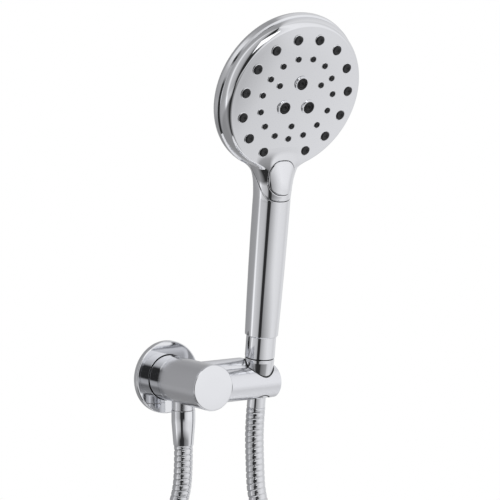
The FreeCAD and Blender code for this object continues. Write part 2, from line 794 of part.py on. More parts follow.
DOWN = -90.0
PITCH = 24.0
NOZZLE_RINGS = [
    # pitch radius, nozzle radius, angles round the face
    (d.outer_ring, d.large_nozzle, ring_angles(14, PITCH, DOWN + PITCH)),
    (d.middle_ring, d.small_nozzle, ring_angles(15, PITCH, DOWN)),
    (d.inner_ring, d.small_nozzle, ring_angles(3, 120.0, DOWN)),
]
MASSAGE_ANGLES = ring_angles(3, 120.0, 90.0)


def spots(radius, angles):
    """Places on a pitch circle of the face."""
    return [Vector(float(radius) * math.cos(math.radians(a)),
                   float(radius) * math.sin(math.radians(a)), 0) for a in angles]


def face_level(radius):
    """Height of the domed face at a distance from its middle."""
    return -dome_drop(radius).value


def pins(radius, places, low, high):
    """Upright cylinders at the places."""
    upright = []
    for place in places:
        base = Vector(place.x, place.y, float(low))
        upright.append(Part.makeCylinder(float(radius), float(high) - float(low), base))
    return upright


def face_holes():
    """Tool for every hole in the spray face, in the head frame."""
    tools = []
    for ring, nozzle, angles in NOZZLE_RINGS:
        tools += pins(nozzle + 0.12, spots(ring, angles), -9.0, 3.0)
    tools += pins(d.massage_rim - 0.7 + 0.03, spots(d.massage_ring, MASSAGE_ANGLES), -9.0, 3.0)
    tool = doc.addObject("Part::Feature", "face_holes")
    tool.Shape = Part.makeCompound(tools)
    tool.Placement = FACE_IN_HANDSET
    return tool


def shells():
    """Rear shell and front cover: one form with an even wall, parted at the seam."""
    wall = d.shell_wall
    outer = fused("handset_outer", [head_outer(), neck_loft("neck_outer", 0.0),
                                    handle_bar("handle_outer", 0)])
    inner = fused("handset_inner", [head_inner(), neck_loft("neck_inner", wall),
                                    handle_bar("handle_inner", 1)])
    skin = cut("handset_skin", outer, inner)
    rear_skin = cut("rear_skin", skin, parting_block("seam_rear", d.seam_gap.value))
    front_skin = shared("front_skin", skin, parting_block("seam_front", 0.0))

    boss_tool = doc.addObject("Part::Feature", "screw_bosses")
    posts = pins(3.4, spots(SCREW_RING, SCREW_ANGLES), -29.5, -12.6)
    boss_tool.Shape = Part.makeCompound(posts)
    boss_tool.Placement = FACE_IN_HANDSET
    bosses = shared("screw_posts", boss_tool, outer)
    hole_tool = doc.addObject("Part::Feature", "screw_pilot_holes")
    hole_tool.Shape = Part.makeCompound(pins(1.53, spots(SCREW_RING, SCREW_ANGLES), -22, -12))
    hole_tool.Placement = FACE_IN_HANDSET
    keep("rear_shell", cut("rear_shell", fused("rear_with_posts", [rear_skin, bosses]),
                           hole_tool), HANDSET)

    window = doc.addObject("Part::Feature", "button_window")
    window.Shape = button_prism(0.12, 20.0, 4.0)
    drilled = cut("front_drilled", front_skin, face_holes())
    keep("front_cover", cut("front_cover", drilled, window), HANDSET)


SCREW_RING = 42.0
SCREW_ANGLES = ring_angles(3, 120.0, 90.0 + 0.5 * PITCH)


# ---------------------------------------------------------------- inside the head

def notch_tool(low, high):
    """Clears the plates over the water tube and the button."""
    half = 12.5
    depth = 30.0
    corner = Vector(-half, -d.plate_notch.value - depth, float(low) - 1)
    return Part.makeBox(2 * half, depth, float(high) - float(low) + 2, corner)


MAT_FRONT = -5.7
MAT_BACK = -7.7
SPRAY_BACK = -9.8
DIVIDER_BACK = -12.4


def nozzle_mat():
    """Soft mat with every spray nozzle moulded on it; each nozzle passes through the face."""
    radius = d.plate_radius.value
    mat = Part.makeCylinder(radius, MAT_FRONT - MAT_BACK, Vector(0, 0, MAT_BACK))
    bumps = []
    jets = []
    for ring, nozzle, angles in NOZZLE_RINGS:
        tip = face_level(ring) + d.nozzle_stand.value
        places = spots(ring, angles)
        bumps += pins(nozzle, places, MAT_FRONT - 0.5, tip)
        jets += pins(0.55, places, MAT_BACK - 1, tip + 1)
    jets += pins(2.0, spots(d.massage_ring, MASSAGE_ANGLES), MAT_BACK - 1, MAT_FRONT + 1)
    solid = mat.fuse(bumps).cut(jets + [notch_tool(MAT_BACK, MAT_FRONT)])
    shape_node("nozzle_mat", solid, HEAD)


def massage_parts():
    """Three chromed rings in the face, each with a black nozzle in it."""
    places = spots(d.massage_ring, MASSAGE_ANGLES)
    level = face_level(d.massage_ring)
    spigot = d.massage_rim - 0.7
    bore = d.massage_nozzle + 0.08
    rings = []
    cores = []
    for place in places:
        step = Vector(place.x, place.y, face_level(d.massage_ring - d.massage_rim) + 0.02)
        neck = Vector(place.x, place.y, MAT_FRONT + 0.6)
        rim = Part.makeCone(float(d.massage_rim), float(d.massage_rim) - 0.45, 1.2, step)
        tube = Part.makeCylinder(float(spigot), step.z - neck.z + 0.2, neck)
        hole = Part.makeCylinder(float(bore), 12.0, neck - Vector(0, 0, 1))
        rings.append(rim.fuse(tube).cut(hole))
        foot = Vector(place.x, place.y, MAT_FRONT + 0.02)
        core = Part.makeCylinder(float(d.massage_nozzle), level + 0.75 - foot.z, foot)
        dish = Part.makeSphere(6.0, Vector(place.x, place.y, level + 0.75 + 5.2))
        jet = Part.makeCylinder(0.9, 12.0, foot - Vector(0, 0, 1))
        cores.append(core.cut([dish, jet]))
    shape_node("massage_rings", Part.makeCompound(rings), HEAD)
    shape_node("massage_nozzles", Part.makeCompound(cores), HEAD)


def spray_plate():
    """Perforated carrier plate behind the mat."""
    plate = Part.makeCylinder(d.plate_radius.value, MAT_BACK - SPRAY_BACK - 0.05,
                              Vector(0, 0, SPRAY_BACK))
    holes = []
    for ring, _, angles in NOZZLE_RINGS:
        holes += pins(1.0, spots(ring, angles), SPRAY_BACK - 1, MAT_BACK + 1)
    holes += pins(2.0, spots(d.massage_ring, MASSAGE_ANGLES), SPRAY_BACK - 1, MAT_BACK + 1)
    shape_node("spray_plate", plate.cut(holes + [notch_tool(SPRAY_BACK, MAT_BACK)]), HEAD)


def divider_plate():
    """Plate with one channel for each nozzle ring and one port into each channel."""
    top = SPRAY_BACK - 0.05
    plate = Part.makeCylinder(d.plate_radius.value, top - DIVIDER_BACK,
                              Vector(0, 0, DIVIDER_BACK))
    cuts = [notch_tool(DIVIDER_BACK, top)]
    channels = [(d.massage_ring.value - 3, d.massage_ring.value + 3),
                (d.inner_ring.value - 2.5, d.middle_ring.value + 2.5),
                (d.outer_ring.value - 5.2, d.outer_ring.value + 2.5)]
    for inner, outer in channels:
        ring = Part.makeCylinder(outer, 1.2, Vector(0, 0, top - 1.2))
        core = Part.makeCylinder(inner, 2.0, Vector(0, 0, top - 1.4))
        bar = Part.makeBox(29.0, 30.0, 4.0, Vector(-14.5, 2 - d.plate_notch.value - 30, top - 3))
        cuts.append(ring.cut([core, bar]))
    cuts += pins(2.2, spots(PORT_RING, MASSAGE_ANGLES), DIVIDER_BACK - 1, top + 1)
    cuts += pins(1.6, spots(SCREW_RING, SCREW_ANGLES), DIVIDER_BACK - 1, top + 1)
    shape_node("divider_plate", plate.cut(cuts), HEAD)


PORT_RING = 12.2


def plate_screws():
    """Pan head screws that hold the divider plate to the rear shell's posts."""
    screws = []
    for place in spots(SCREW_RING, SCREW_ANGLES):
        head = Part.makeCylinder(1.55, 1.0, Vector(place.x, place.y, DIVIDER_BACK + 0.1))
        shank = Part.makeCylinder(1.5, 8.6, Vector(place.x, place.y, DIVIDER_BACK - 8.5))
        screws.append(head.fuse(shank))
    shape_node("plate_screws", Part.makeCompound(screws), HEAD)


HOUSING_FRONT = -13.2
HOUSING_BACK = -24.3
DISC_FRONT = -12.6
DISC_BACK = -15.4
SPINDLE = 2.4


def chamber_housing():
    """Cup behind the divider plate that takes the water in and carries the diverter."""
    wall = 2.4
    inner = d.housing_radius - wall
    cup = revolved("housing_cup", [
        (0, HOUSING_BACK), (d.housing_radius - 2, HOUSING_BACK),
        (d.housing_radius, HOUSING_BACK + 2), (d.housing_radius, HOUSING_FRONT),
        (SPINDLE + 3, HOUSING_FRONT), (SPINDLE + 3, HOUSING_FRONT + 0.6),
        (0, HOUSING_FRONT + 0.6)])
    cup.Placement = FACE_IN_HANDSET
    low = d.handle_top.value + 36.0
    socket = cylinder("inlet_socket", d.tube_radius + 1.2, 19.0, at(0, d.tube_back, low))
    hollow = revolved("housing_hollow", [
        (SPINDLE, HOUSING_BACK + wall), (inner, HOUSING_BACK + wall), (inner, HOUSING_FRONT + 20),
        (0, HOUSING_FRONT + 20), (0, HOUSING_FRONT + 0.5), (SPINDLE, HOUSING_FRONT + 0.5)])
    hollow.Placement = FACE_IN_HANDSET
    seat = cylinder("inlet_seat", d.tube_radius + 0.04, 14.0, at(0, d.tube_back, low - 1))
    way = cylinder("inlet_way", d.tube_radius - 1.0, 24.0, at(0, d.tube_back, low - 1))
    bore = fused("inlet_bore", [seat, way])
    rod_hole = cylinder("rod_hole", ROD_RADIUS + 0.05, 30.0, rod_start(-40.0))
    tools = fused("housing_tools", [hollow, bore, rod_hole])
    keep("chamber_housing", cut("chamber_housing", fused("housing_solid", [cup, socket]),
                                tools), HANDSET)


def chamber_seal():
    """Flat ring between the housing's mouth and the divider plate."""
    keep("chamber_seal", revolved("chamber_seal", tube_points(
        d.housing_radius - 2.2, d.housing_radius - 0.2, HOUSING_FRONT + 0.02,
        DIVIDER_BACK - 0.02)), HEAD)


def diverter_disc():
    """Turning disc whose one port opens one nozzle ring at a time."""
    body = revolved("diverter_disc", tube_points(
        SPINDLE + 0.06, d.housing_radius - 5.0, DISC_BACK, DISC_FRONT))
    port = circle_sketch(body, "XY_Plane", "diverter_port", 2.4, 0, PORT_RING, DISC_FRONT)
    pocket(body, port, 5.0, "diverter_port_hole")
    keep("diverter_disc", body, HEAD)


def ratchet_wheel():
    """Six-toothed wheel behind the diverter disc, turned by the selector rod."""
    body = new_body("ratchet_wheel")
    sketch = new_sketch(body, "XY_Plane", "ratchet_outline", DISC_BACK - 0.05)
    teeth = 6
    tip = 9.0
    root = 6.6
    corners = []
    for k in range(teeth):
        angle = math.radians(360.0 / teeth * k)
        corners.append((tip * math.cos(angle), tip * math.sin(angle)))
        corners.append((root * math.cos(angle + 0.15), root * math.sin(angle + 0.15)))
    for k, corner in enumerate(corners):
        start = Vector(*corner, 0)
        end = Vector(*corners[(k + 1) % len(corners)], 0)
        sketch.addGeometry(Part.LineSegment(start, end), False)
    pad(body, sketch, 2.6, "ratchet_teeth", reverse=True)
    hole = circle_sketch(body, "XY_Plane", "ratchet_hole", SPINDLE + 0.06, 0, 0,
                         DISC_BACK + 1)
    pocket(body, hole, 6.0, "ratchet_bore")
    keep("ratchet_wheel", body, HEAD)


# ================================================================ mode button

BUTTON_TRAVEL = 1.8
BUTTON_BACK = 9.6


def mode_button():
    """Push button in the neck: its face follows the cover and stands a little proud."""
    grown = neck_loft("button_form", Size(-d.button_stand.value, "(-1 * Sizes.button_stand)"))
    block = doc.addObject("Part::Feature", "button_block")
    block.Shape = button_prism(0.0, 24.0, BUTTON_BACK)
    keep("mode_button", shared("mode_button", grown, block), HANDSET)


ROD_SIDE = -7.0
ROD_DEPTH = -16.8
ROD_RADIUS = 1.2
ROD_TIP = -9.0
RAMP_TOP = d.button_high.value - 5.0
RAMP_BACK = 1.5


def rod_start(height):
    """A point on the selector rod's line at a height on the face, in the handset frame, with Z
    along the rod."""
    along = Placement(Vector(ROD_SIDE, height, ROD_DEPTH), Rotation(X_AXIS, -90))
    return FACE_IN_HANDSET.multiply(along)


def ramp_block(name, shift, reach):
    """Everything below the sloping contact between the button's wedge and the selector rod."""
    top = RAMP_TOP + shift
    corners = [Vector(-20, RAMP_BACK, top), Vector(-20, RAMP_BACK + reach, top - reach),
               Vector(-20, RAMP_BACK + reach, top - reach - 30), Vector(-20, -30, top - 60),
               Vector(-20, -30, top)]
    solid = Part.Face(Part.makePolygon(corners + corners[:1])).extrude(Vector(40, 0, 0))
    block = doc.addObject("Part::Feature", name)
    block.Shape = solid
    return block


def button_wedge():
    """Prong on the button whose sloping end lifts the selector rod."""
    low = RAMP_TOP - 7.5
    prong = box("wedge_bar", (ROD_SIDE - 1.0, -BUTTON_BACK + 0.02, low),
                (ROD_SIDE + 1.0, 7.2, RAMP_TOP))
    keep("button_wedge", shared("button_wedge", prong, ramp_block("wedge_slope", 0.0, 12.0)),
         HANDSET)


def selector_rod():
    """Rod that the wedge pushes up against the ratchet wheel."""
    low = -62.0
    rod = cylinder("rod_bar", ROD_RADIUS, ROD_TIP - low, rod_start(low))
    keep("selector_rod", cut("selector_rod", rod, ramp_block("rod_slope", 0.12, 12.0)), HANDSET)


SPRING_FOOT = 3.4
SPRING_SPAN = 14.0


def button_seat():
    """Bridge across the neck that the button's spring stands on, slotted for the wedge."""
    middle = (d.button_low.value + d.button_high.value) / 2 - 1.2
    low = middle - SPRING_SPAN / 2 - 1.0
    bridge = Part.makeBox(22.0, 1.2, SPRING_SPAN + 2.0, Vector(-11.0, -SPRING_FOOT, low))
    slot = Part.makeBox(3.4, 4.0, 20.0, Vector(ROD_SIDE - 1.7, -5.0, RAMP_TOP - 11.0))
    shape_node("button_seat", bridge.cut(slot), HANDSET)


def button_spring():
    """Bowed leaf spring between the bridge and the button."""
    leaf = 0.4
    middle = (d.button_low.value + d.button_high.value) / 2 - 1.2
    foot = -SPRING_FOOT - 0.04
    rise = BUTTON_BACK - SPRING_FOOT - 0.08
    half = SPRING_SPAN / 2
    bow = (half ** 2 + rise ** 2) / (2 * rise)
    body = new_body("button_spring")
    sketch = new_sketch(body, "YZ_Plane", "leaf_outline", -2.5)
    outline(sketch, [
        (foot, middle - half), (foot, middle + half, bow),
        (foot, middle + half - leaf), (foot, middle - half + leaf, -(bow - leaf))])
    pad(body, sketch, 5.0, "leaf_pad")
    keep("button_spring", body, HANDSET)


# ================================================================ hose

# The hose hangs from the outlet, lies in one tied coil and climbs to the handset.
OUTLET_ROUTE = [
    (0.0, -25.5, -48.5), (0.0, -25.5, -66.0), (-0.1, -22.8, -85.3), (-5.7, -19.2, -105.6),
    (-16.7, -15.6, -123.5), (-32.2, -14.0, -137.8), (-43.2, -14.9, -155.7),
    (-48.9, -16.9, -176.0), (-48.9, -16.9, -197.0)]
HANDSET_ROUTE = [
    (48.17, -50.76, -20.34), (48.17, -48.73, -36.32), (48.17, -48.8, -51.0),
    (48.17, -49.6, -66.5), (48.2, -51.0, -86.3), (53.9, -52.8, -106.0), (64.9, -54.4, -124.0),
    (80.4, -55.0, -138.0), (91.4, -54.2, -155.7), (97.1, -52.1, -176.0), (97.1, -52.1, -197.0)]


def cord_tube(name, route):
    """Round tube along straight runs joined by tangent arcs, as large as the runs allow."""
    points = [Vector(*point) for point in route]
    edges = []
    radii = []
    begin = points[0]
    for before, corner, after in zip(points, points[1:], points[2:]):
        way_in = (before - corner)
        way_out = (after - corner)
        half_turn = (math.pi - way_in.getAngle(way_out)) / 2
        reach = 0.45 * min(way_in.Length, way_out.Length)
        radius = reach / math.tan(half_turn)
        radii.append(radius)
        first = corner + way_in.normalize() * reach
        last = corner + way_out.normalize() * reach
        centre_way = (way_in + way_out).normalize()
        middle = corner + centre_way * (radius / math.cos(half_turn) - radius)
        edges.append(Part.LineSegment(begin, first).toShape())
        edges.append(Part.Arc(first, middle, last).toShape())
        begin = last
    edges.append(Part.LineSegment(begin, points[-1]).toShape())
    path = Part.Wire(edges)
    section = Part.Wire(Part.makeCircle(d.hose_radius.value, points[0], points[1] - points[0]))
    tube = path.makePipeShell([section], True, False)
    expected = math.pi * d.hose_radius.value ** 2 * path.Length
    print("%s: length %.1f, smallest radius %.1f, volume ratio %.4f"
          % (name, path.Length, min(radii), tube.Volume / expected))
    shape_node(name, tube)
    return path.Length


def hose_coil():
    """Two and a half turns of hose beside each other, as one closed ring. Below its middle it is
    three strands wide and above it two; each half leans the way its strands climb, and the two
    steps between the halves are where the legs join."""
    diameter = 2 * d.hose_radius.value
    centre = Vector(d.coil_side.value, -d.coil_forward.value, -d.coil_drop.value)
    inner = d.coil_radius.value - d.hose_radius.value
    outer = d.coil_radius.value + d.hose_radius.value
    lean = math.degrees(math.atan2(diameter / 4, d.coil_radius.value))
    span = 3 * outer
    start = centre - Vector(0, span / 2, 0)
    ring = Part.makeCylinder(outer, span, start, Vector(0, 1, 0)).cut(
        Part.makeCylinder(inner, span, start, Vector(0, 1, 0)))

    def half(strands, turn, low):
        slab = Part.makeBox(span, strands * diameter, span,
                            Vector(-span / 2, -strands * diameter / 2, low))
        slab.Placement = Placement(centre, Rotation(Vector(0, 0, 1), turn))
        return ring.common(slab)

    shape_node("hose_coil", half(3, -lean, -span).fuse(half(2, lean, 0.0)))


def hose_tie():
    """Strap round the coil's three strands at its lowest point."""
    strap = 1.6
    gap = 0.5
    half = 7.0
    lean = math.atan2(d.hose_radius.value / 2, d.coil_radius.value)
    wide = 3 * d.hose_radius.value / math.cos(lean) + half * math.tan(lean) + gap
    low = -d.coil_drop.value - d.coil_radius.value - d.hose_radius.value - gap
    high = 2 * d.hose_radius.value + 2 * gap + 0.4

    def block(grow):
        corner = Vector(d.coil_side.value - half, -d.coil_forward.value - wide - grow,
                        low - grow)
        return Part.makeBox(2 * half, 2 * (wide + grow), high + 2 * grow, corner)

    shape_node("hose_tie", block(strap).cut(block(0.0)))


# ================================================================ build and export

def build():
    wall_flange()
    flange_seal()
    rear_collar()
    set_screw()
    inlet_nipple()
    nipple_oring()
    check_valve()
    front_cap()
    bracket_body()
    holder_liner()
    outlet_stub()
    outlet_nut()
    outlet_washer()
    outlet_tail()
    cone_nut()
    cone_gasket()
    swivel_washer()
    hose_tail()
    hose_ferrule()
    handle_collar()
    handle_insert()
    flow_regulator()
    water_tube()
    shells()
    nozzle_mat()
    massage_parts()
    spray_plate()
    divider_plate()
    plate_screws()
    chamber_housing()
    chamber_seal()
    diverter_disc()
    ratchet_wheel()
    mode_button()
    button_wedge()
    selector_rod()
    button_seat()
    button_spring()
    cord_tube("hose_outlet_leg", OUTLET_ROUTE)
    cord_tube("hose_handset_leg", HANDSET_ROUTE)
    hose_coil()
    hose_tie()


def export():
    """Stops on any failed object, then writes one STEP file for each piece."""
    for thing in doc.Objects:
        if "Invalid" in thing.State or "Error" in thing.State:
            raise RuntimeError("%s failed: %s" % (thing.Label, thing.State))
    os.makedirs("parts", exist_ok=True)
    for name, thing in nodes.items():
        shape = thing.Shape
        if shape.isNull() or not shape.isValid() or not shape.Solids:
            raise RuntimeError("%s has no valid solid" % name)
    for name, thing in nodes.items():
        thing.Shape.exportStep("parts/%s.step" % name)
    print("%d pieces" % len(nodes))


build()
doc.recompute()
export()
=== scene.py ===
"""Hand shower set in a plain studio: chromed wall outlet, handset and metal hose."""
import bmesh
import bpy
import math

from mathutils import Matrix, Vector


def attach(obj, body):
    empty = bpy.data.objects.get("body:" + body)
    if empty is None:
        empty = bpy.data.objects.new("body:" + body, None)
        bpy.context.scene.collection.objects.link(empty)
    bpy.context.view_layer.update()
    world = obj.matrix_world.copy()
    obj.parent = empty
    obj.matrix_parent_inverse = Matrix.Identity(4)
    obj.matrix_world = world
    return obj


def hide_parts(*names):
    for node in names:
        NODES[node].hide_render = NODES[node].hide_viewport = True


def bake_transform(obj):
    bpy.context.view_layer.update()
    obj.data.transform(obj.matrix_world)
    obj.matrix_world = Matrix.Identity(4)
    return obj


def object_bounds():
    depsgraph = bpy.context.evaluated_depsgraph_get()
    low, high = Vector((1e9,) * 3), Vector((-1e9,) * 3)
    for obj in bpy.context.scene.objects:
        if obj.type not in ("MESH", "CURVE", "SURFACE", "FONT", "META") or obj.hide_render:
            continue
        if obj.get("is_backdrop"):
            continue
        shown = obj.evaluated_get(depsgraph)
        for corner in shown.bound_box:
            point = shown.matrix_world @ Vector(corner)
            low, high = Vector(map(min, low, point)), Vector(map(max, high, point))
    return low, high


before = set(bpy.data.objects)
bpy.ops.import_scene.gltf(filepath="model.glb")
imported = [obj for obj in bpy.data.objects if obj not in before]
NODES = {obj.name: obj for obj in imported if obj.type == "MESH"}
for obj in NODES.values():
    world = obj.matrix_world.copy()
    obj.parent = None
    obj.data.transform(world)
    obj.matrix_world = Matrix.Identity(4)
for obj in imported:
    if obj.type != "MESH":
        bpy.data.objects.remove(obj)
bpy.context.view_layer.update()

MM = 0.001


# ---------------------------------------------------------------- frames of the object

LEAN = math.radians(7.24)       # how far the handle leans out into the room
TILT = math.radians(13.26)      # how far the spray face turns down from the handle
QUARTER = math.radians(90)
HOLDER_ACROSS, HOLDER_OUT = 48.17, 53.35
FACE_FORWARD, FACE_HEIGHT = 22.95, 214.3
OUTLET_OUT = 25.5


def placed(x, y, z, turn=0.0):
    """A frame at a point in millimetres, turned about the X axis."""
    return Matrix.Translation(Vector((x, y, z)) * MM) @ Matrix.Rotation(turn, 4, "X")


WALL = placed(0, 0, 0, QUARTER)
HANDSET = placed(HOLDER_ACROSS, -HOLDER_OUT, 0, LEAN)
FACE_ON_HANDSET = placed(0, -FACE_FORWARD, FACE_HEIGHT, QUARTER + TILT)
HEAD = HANDSET @ FACE_ON_HANDSET
OUTLET = placed(0, -OUTLET_OUT, 0, 2 * QUARTER)


# ---------------------------------------------------------------- materials

def linear(code):
    """sRGB hex to a linear colour."""
    parts = [int(code[i:i + 2], 16) / 255 for i in (0, 2, 4)]
    return [p / 12.92 if p <= 0.04045 else ((p + 0.055) / 1.055) ** 2.4 for p in parts] + [1.0]


def feed(tree, node, **links):
    """Links outputs to a node's inputs, where _ in a name stands for a space."""
    for name, source in links.items():
        tree.links.new(source, node.inputs[name.replace("_", " ")])


def add(tree, kind, settings=None, **links):
    """Adds a node: settings are its own values or its sockets' constants, links its inputs."""
    node = tree.nodes.new(kind)
    for name, value in (settings or {}).items():
        if isinstance(name, int) or name in node.inputs:
            node.inputs[name].default_value = value
        else:
            setattr(node, name, value)
    feed(tree, node, **links)
    return node


def material(name, colour, roughness, metallic=0.0, **shader):
    """A material with its shader, and the position on the piece for its patterns."""
    made = bpy.data.materials.new(name)
    made.use_nodes = True
    tree = made.node_tree
    surface = tree.nodes["Principled BSDF"]
    surface.inputs["Base Color"].default_value = linear(colour)
    surface.inputs["Roughness"].default_value = roughness
    surface.inputs["Metallic"].default_value = metallic
    for socket, value in shader.items():
        surface.inputs[socket.replace("_", " ")].default_value = value
    place = add(tree, "ShaderNodeTexCoord").outputs["Object"]
    return made, tree, surface, place


def grains(size_mm):
    """Noise scale for features of a size in millimetres on Object coordinates in metres."""
    return 1.0 / (size_mm * MM)


def chrome(name, colour, low, high):
    """Chrome plate: a mirror whose haze comes and goes, with a faint orange peel."""
    haze_size, peel_size, peel_depth = 9, 6, 0.004
    made, tree, surface, place = material(name, colour, low, 1.0)
    haze = add(tree, "ShaderNodeTexNoise", {"Scale": grains(haze_size), "Detail": 3.0}, Vector=place)
    spread = add(tree, "ShaderNodeMapRange", {"To Min": low, "To Max": high},
                 Value=haze.outputs["Fac"])
    peel = add(tree, "ShaderNodeTexNoise", {"Scale": grains(peel_size), "Detail": 1.0}, Vector=place)
    relief = add(tree, "ShaderNodeBump", {"Distance": peel_depth * MM, "Strength": 1.0},
                 Height=peel.outputs["Fac"])
    feed(tree, surface, Roughness=spread.outputs["Result"], Normal=relief.outputs["Normal"])
    return made


def moulded(name, colour, tooth_size):
    """Moulded rubber or plastic: one plain colour with the fine tooth of its mould."""
    tooth_depth = 0.03
    made, tree, surface, place = material(name, colour, 0.5)
    tooth = add(tree, "ShaderNodeTexNoise", {"Scale": grains(tooth_size), "Detail": 4.0},
                Vector=place)
    spread = add(tree, "ShaderNodeMapRange", {"To Min": 0.42, "To Max": 0.6},
                 Value=tooth.outputs["Fac"])
    relief = add(tree, "ShaderNodeBump", {"Distance": tooth_depth * MM, "Strength": 1.0},
                 Height=tooth.outputs["Fac"])
    feed(tree, surface, Roughness=spread.outputs["Result"], Normal=relief.outputs["Normal"])
    return made


def turned(name, colour, low, high):
    """Turned metal: its fine tool marks break up the shine."""
    mark_size, mark_depth = 0.8, 0.01
    made, tree, surface, place = material(name, colour, low, 1.0)
    marks = add(tree, "ShaderNodeTexNoise", {"Scale": grains(mark_size), "Detail": 3.0}, Vector=place)
    spread = add(tree, "ShaderNodeMapRange", {"To Min": low, "To Max": high},
                 Value=marks.outputs["Fac"])
    relief = add(tree, "ShaderNodeBump", {"Distance": mark_depth * MM, "Strength": 1.0},
                 Height=marks.outputs["Fac"])
    feed(tree, surface, Roughness=spread.outputs["Result"], Normal=relief.outputs["Normal"])
    return made


# Chrome electroplated over polished brass or ABS: a cool mirror, barely rippled.
CHROME = chrome("bright_chrome_plate", "e6e7ea", 0.03, 0.07)
# Chrome electroplated over a blasted casting: the same cool metal, its reflections blurred.
CHROME_CAST = chrome("satin_chromed_brass_casting", "e2e3e7", 0.16, 0.24)
# Steel strip, rolled and polished: bright turns whose edges melt into each other.
HOSE_STEEL = chrome("polished_steel_hose_band", "dcdde0", 0.10, 0.18)
# Moulded silicone: near black, with a broad dull highlight.
SILICONE = moulded("black_silicone", "17181b", 0.6)
# Moulded rubber: darker than the silicone, with a coarser tooth.
RUBBER = moulded("black_rubber", "101113", 0.8)
# Injection-moulded ABS left unplated: plain black with a fine texture.
BLACK_PLASTIC = moulded("black_moulded_plastic", "141518", 0.7)
# Injection-moulded acetal in its own colour: a waxy off-white.
INNER_PLASTIC = moulded("natural_acetal", "d9dadc", 0.7)
# Brass turned on a lathe: warm yellow with a satin shine.
BRASS = turned("turned_brass", "c9a063", 0.2, 0.34)
# Stainless steel turned or drawn: a neutral grey, softer than the chrome.
STEEL = turned("stainless_steel", "b4b5b8", 0.22, 0.36)


def dress(finish, *names):
    """Gives carried-over pieces their finish."""
    for name in names:
        NODES[name].data.materials.clear()
        NODES[name].data.materials.append(finish)


dress(CHROME, "wall_flange", "rear_collar", "front_cap", "outlet_nut", "hose_ferrule",
      "cone_nut", "handle_collar", "rear_shell", "front_cover", "mode_button", "massage_rings")
dress(CHROME_CAST, "bracket_body")
dress(SILICONE, "nozzle_mat", "massage_nozzles", "cone_gasket")
dress(RUBBER, "flange_seal", "nipple_oring", "outlet_washer", "swivel_washer", "chamber_seal")
dress(BLACK_PLASTIC, "holder_liner", "handle_insert", "hose_tie")
dress(INNER_PLASTIC, "check_valve", "flow_regulator", "water_tube", "spray_plate",
      "divider_plate", "chamber_housing", "diverter_disc", "ratchet_wheel", "button_wedge",
      "button_seat")
dress(BRASS, "inlet_nipple", "outlet_stub", "outlet_tail", "hose_tail")
dress(STEEL, "set_screw", "plate_screws", "selector_rod", "button_spring")


# ---------------------------------------------------------------- making pieces

def piece_from(bm, name, finish):
    """Turns a bmesh into a smooth piece at the origin."""
    for face in bm.faces:
        face.smooth = True
    mesh = bpy.data.meshes.new(name)
    bm.to_mesh(mesh)
    bm.free()
    mesh.materials.append(finish)
    piece = bpy.data.objects.new(name, mesh)
    bpy.context.scene.collection.objects.link(piece)
    return piece


def walled(piece, thickness):
    """Gives an open skin a wall, inwards from its outer surface."""
    wall = piece.modifiers.new("wall", "SOLIDIFY")
    wall.thickness = thickness * MM
    wall.offset = -1.0


def spun(profile, steps, bm=None):
    """Turns an outline of (radius, height) in millimetres into a round form about Z."""
    bm = bm or bmesh.new()
    verts = [bm.verts.new((radius, 0, height)) for radius, height in profile]
    edges = [bm.edges.new(pair) for pair in zip(verts, verts[1:])]
    bmesh.ops.spin(bm, geom=verts + edges, cent=(0, 0, 0), axis=(0, 0, 1),
                   angle=2 * math.pi, steps=steps, use_merge=True)
    return bm


def in_place(bm, place, name, finish):
    """Closes a form drawn in millimetres and stands it in one of the object's frames."""
    bmesh.ops.remove_doubles(bm, verts=bm.verts, dist=1e-4)
    bmesh.ops.transform(bm, matrix=place @ Matrix.Scale(MM, 4), verts=bm.verts)
    bmesh.ops.recalc_face_normals(bm, faces=bm.faces)
    return piece_from(bm, name, finish)


# ---------------------------------------------------------------- neck of the handset

HANDLE_FOOT, HANDLE_TOP = 34.8, 137.0
FOOT_RADIUS, TOP_RADIUS = 12.35, 13.85
LAP_LENGTH, LAP_UNDER, LAP_RISE = 10.0, 0.08, 0.43      # where the skin climbs out of the handle
FLARE_FOOT, FLARE_LENGTH, FLARE_POWER = 143.0, 35.0, 2.17
FLARE_WIDTH, FLARE_DEPTH = 21.0, 3.4
NECK_END = 180.0

DOME_RADIUS = 500.0
ROLL_START, COVER_RADIUS, COVER_DEPTH = 54.0, 58.3, 12.2
ROLL_FALL, ROLL_LEAN = COVER_DEPTH - 2.7, 0.05
INSIDE = 0.1                                            # how far the skin's head lies in the real one
SHOULDER_TOP, SHOULDER_LENGTH, SHOULDER_OUT = 12.6, 3.4, 1.65
BACK_DEPTH, BACK_BULGE = 31.0, 420.0
EDGE_BLEND, BACK_BLEND, NECK_BLEND = 1.0, 9.0, 5.0

TONGUE_FOOT, TONGUE_LENGTH, TONGUE_RISE = 137.5, 27.0, 18.3
SEAM_BLEND, SEAM_POWER = 5.0, 1.6
BUTTON_LOW, BUTTON_HIGH, BUTTON_HALF = 142.6, 167.6, 10.9
BUTTON_CORNER, BUTTON_CROWN = 7.2, 2.4

HANDSET_TO_FACE = FACE_ON_HANDSET.inverted()


def soft_min(a, b, reach):
    """The smaller of two distances, blended where they are alike."""
    share = max(reach - abs(a - b), 0.0) / reach
    return min(a, b) - share * share * reach / 4


